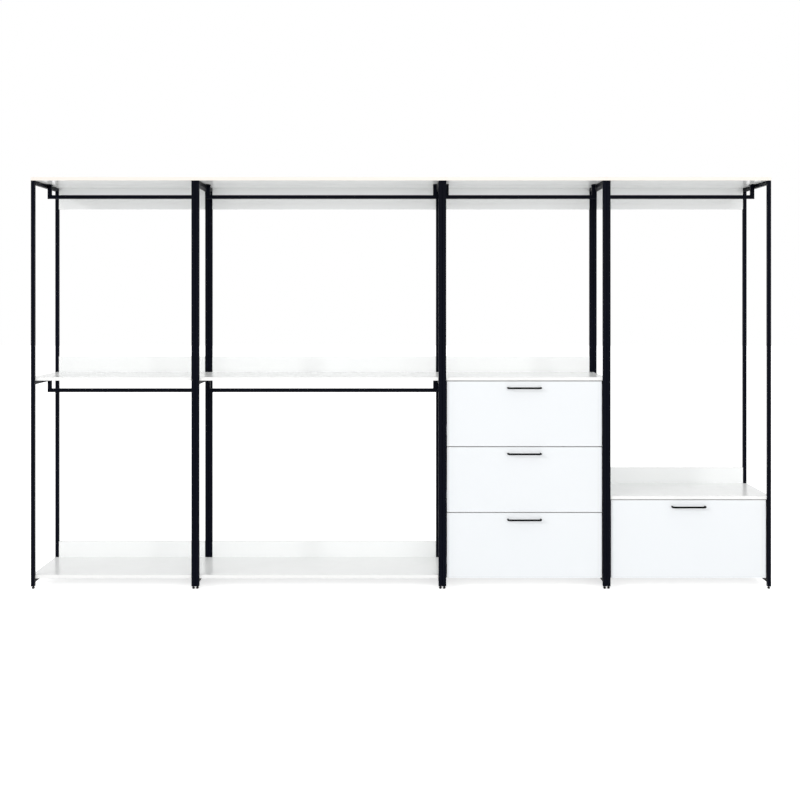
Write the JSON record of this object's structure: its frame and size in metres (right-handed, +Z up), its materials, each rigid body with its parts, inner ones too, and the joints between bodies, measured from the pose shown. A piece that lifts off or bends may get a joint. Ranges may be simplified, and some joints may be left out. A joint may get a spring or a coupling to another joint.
{
  "type": "freestanding closet system",
  "caption": "Freestanding closet of open black steel bays with white shelves, hanging rods and sliding drawers under a long top.",
  "frame": {"origin": "floor level, in the middle of the overall width and of the overall depth with the handles", "axes": "+Z up, +X to the right along the width as seen from the front, fronts and handles face -Y"},
  "size_m": [3.846, 0.463, 2.14],
  "materials": {
    "white_board": "white melamine, satin",
    "black_steel": "black powder coat, satin",
    "runner_steel": "zinc plated",
    "foot_plastic": "matte black"
  },
  "bodies": {
    "closet": {"narrow_hang_left_frame": "black_steel", "narrow_hang_right_frame": "black_steel", "narrow_hang_feet": "foot_plastic", "narrow_hang_top_shelf": "white_board", "narrow_hang_middle_shelf": "white_board", "narrow_hang_bottom_shelf": "white_board", "narrow_hang_back_boards": "white_board", "narrow_hang_upper_rod": "black_steel", "narrow_hang_lower_rod": "black_steel", "wide_hang_left_frame": "black_steel", "wide_hang_right_frame": "black_steel", "wide_hang_feet": "foot_plastic", "wide_hang_top_shelf": "white_board", "wide_hang_middle_shelf": "white_board", "wide_hang_bottom_shelf": "white_board", "wide_hang_back_boards": "white_board", "wide_hang_upper_rod": "black_steel", "wide_hang_lower_rod": "black_steel", "chest_left_frame": "black_steel", "chest_right_frame": "black_steel", "chest_feet": "foot_plastic", "chest_top_shelf": "white_board", "chest_middle_shelf": "white_board", "chest_bottom_shelf": "white_board", "chest_back_boards": "white_board", "chest_rod": "black_steel", "chest_fixed_runners": "runner_steel", "chest_case_sides": "white_board", "chest_case_back": "white_board", "long_hang_left_frame": "black_steel", "long_hang_right_frame": "black_steel", "long_hang_feet": "foot_plastic", "long_hang_top_shelf": "white_board", "long_hang_low_shelf": "white_board", "long_hang_bottom_shelf": "white_board", "long_hang_back_boards": "white_board", "long_hang_rod": "black_steel", "long_hang_fixed_runners": "runner_steel", "long_hang_case_sides": "white_board", "long_hang_case_back": "white_board"},
    "top_drawer": {"top_drawer_front": "white_board", "top_drawer_box": "white_board", "top_drawer_handle": "black_steel", "top_drawer_inner_runners": "runner_steel"},
    "top_drawer_middle_members": {"top_drawer_middle_runners": "runner_steel"},
    "middle_drawer": {"middle_drawer_front": "white_board", "middle_drawer_box": "white_board", "middle_drawer_handle": "black_steel", "middle_drawer_inner_runners": "runner_steel"},
    "middle_drawer_middle_members": {"middle_drawer_middle_runners": "runner_steel"},
    "bottom_drawer": {"bottom_drawer_front": "white_board", "bottom_drawer_box": "white_board", "bottom_drawer_handle": "black_steel", "bottom_drawer_inner_runners": "runner_steel"},
    "bottom_drawer_middle_members": {"bottom_drawer_middle_runners": "runner_steel"},
    "tall_drawer": {"tall_drawer_front": "white_board", "tall_drawer_box": "white_board", "tall_drawer_handle": "black_steel", "tall_drawer_inner_runners": "runner_steel"},
    "tall_drawer_middle_members": {"tall_drawer_middle_runners": "runner_steel"}
  },
  "joints": [
    {"name": "top_drawer_slide", "type": "slide", "parent": "closet", "child": "top_drawer", "axis": [0, -1, 0], "range_m": [0, 0.37]},
    {"name": "top_drawer_middle_slide", "type": "slide", "parent": "closet", "child": "top_drawer_middle_members", "axis": [0, -1, 0], "range_m": [0, 0.185]},
    {"name": "middle_drawer_slide", "type": "slide", "parent": "closet", "child": "middle_drawer", "axis": [0, -1, 0], "range_m": [0, 0.37]},
    {"name": "middle_drawer_middle_slide", "type": "slide", "parent": "closet", "child": "middle_drawer_middle_members", "axis": [0, -1, 0], "range_m": [0, 0.185]},
    {"name": "bottom_drawer_slide", "type": "slide", "parent": "closet", "child": "bottom_drawer", "axis": [0, -1, 0], "range_m": [0, 0.37]},
    {"name": "bottom_drawer_middle_slide", "type": "slide", "parent": "closet", "child": "bottom_drawer_middle_members", "axis": [0, -1, 0], "range_m": [0, 0.185]},
    {"name": "tall_drawer_slide", "type": "slide", "parent": "closet", "child": "tall_drawer", "axis": [0, -1, 0], "range_m": [0, 0.37]},
    {"name": "tall_drawer_middle_slide", "type": "slide", "parent": "closet", "child": "tall_drawer_middle_members", "axis": [0, -1, 0], "range_m": [0, 0.185]}
  ],
  "couplings": [
    {"joint": "top_drawer_middle_slide", "follows": "top_drawer_slide", "ratio": 0.5},
    {"joint": "middle_drawer_middle_slide", "follows": "middle_drawer_slide", "ratio": 0.5},
    {"joint": "bottom_drawer_middle_slide", "follows": "bottom_drawer_slide", "ratio": 0.5},
    {"joint": "tall_drawer_middle_slide", "follows": "tall_drawer_slide", "ratio": 0.5}
  ]
}
